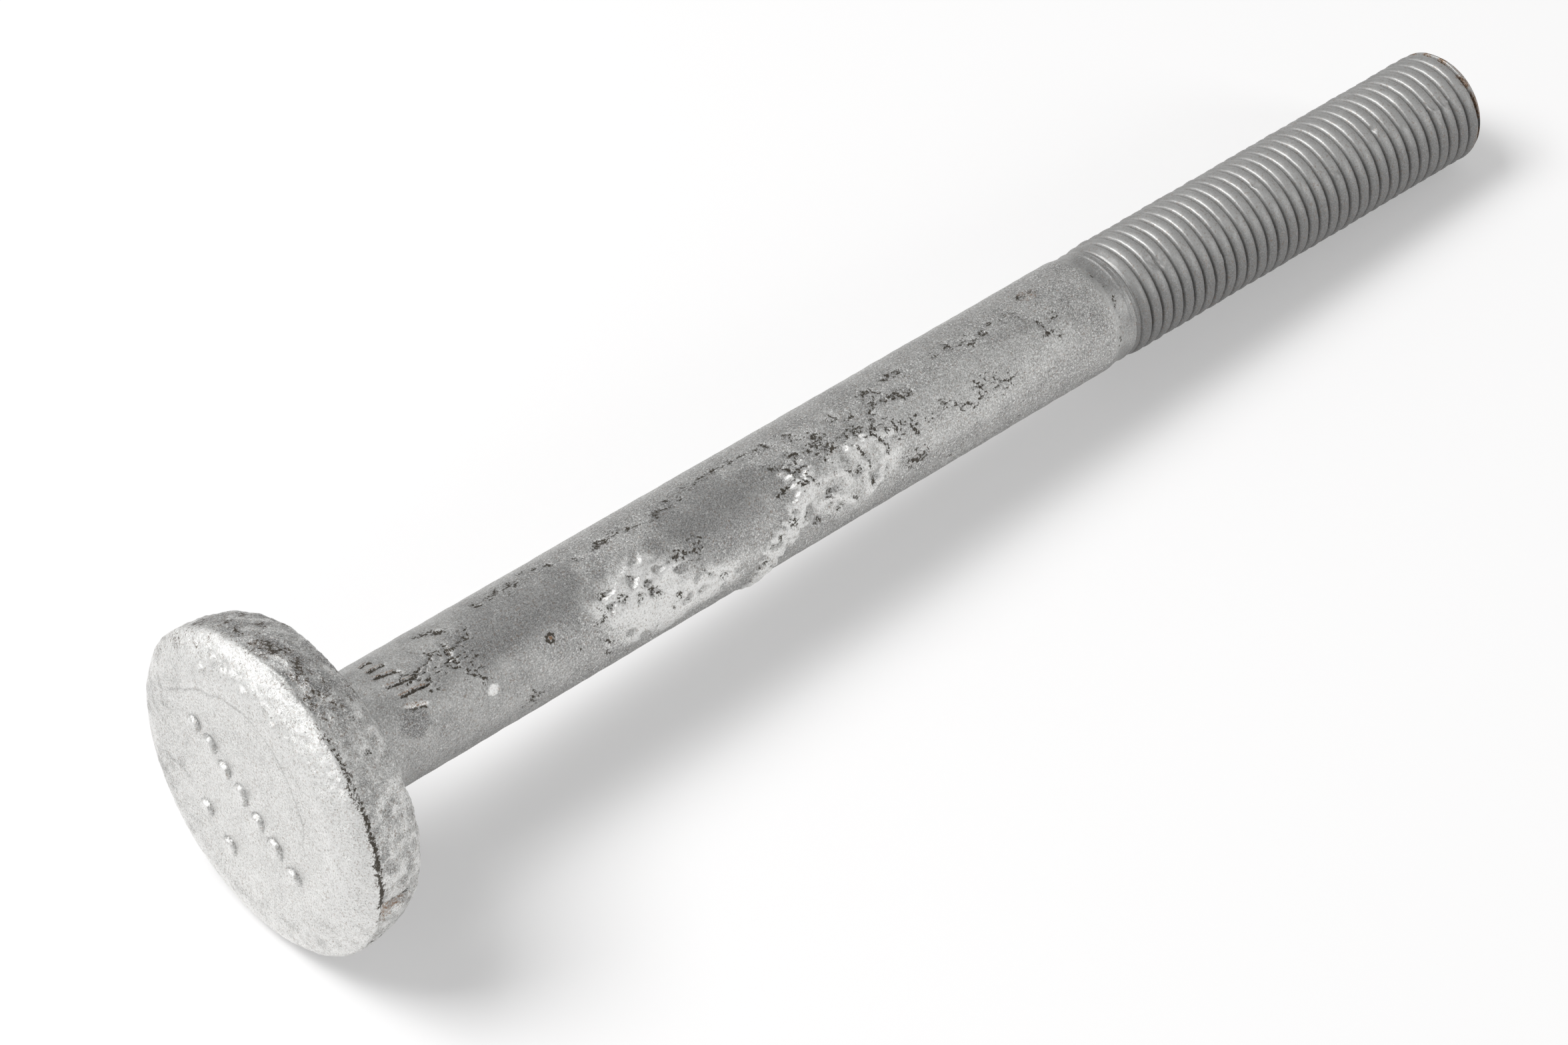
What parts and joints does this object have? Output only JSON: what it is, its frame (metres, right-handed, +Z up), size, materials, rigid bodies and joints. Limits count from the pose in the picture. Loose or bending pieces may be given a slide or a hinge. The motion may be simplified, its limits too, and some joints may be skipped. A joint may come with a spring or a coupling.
{
  "type": "carriage bolt",
  "caption": "Heavy galvanised bolt with a wide, shallow round head, a plain round shank and a threaded end, for clamping timber or sections with a nut.",
  "frame": {"origin": "middle of the underside of the bolt's bounding box as it lies on the floor", "axes": "+Z up; +X along the floor under the bolt, from the head to the threaded end; the bolt's own axis lies in the XZ plane and slopes down to the thread by 3.9 degrees"},
  "size_m": [0.2646, 0.0554, 0.0553],
  "materials": {
    "zinc": "matte hot-dip zinc"
  },
  "bodies": {
    "root": {"bolt": "zinc"}
  },
  "joints": []
}
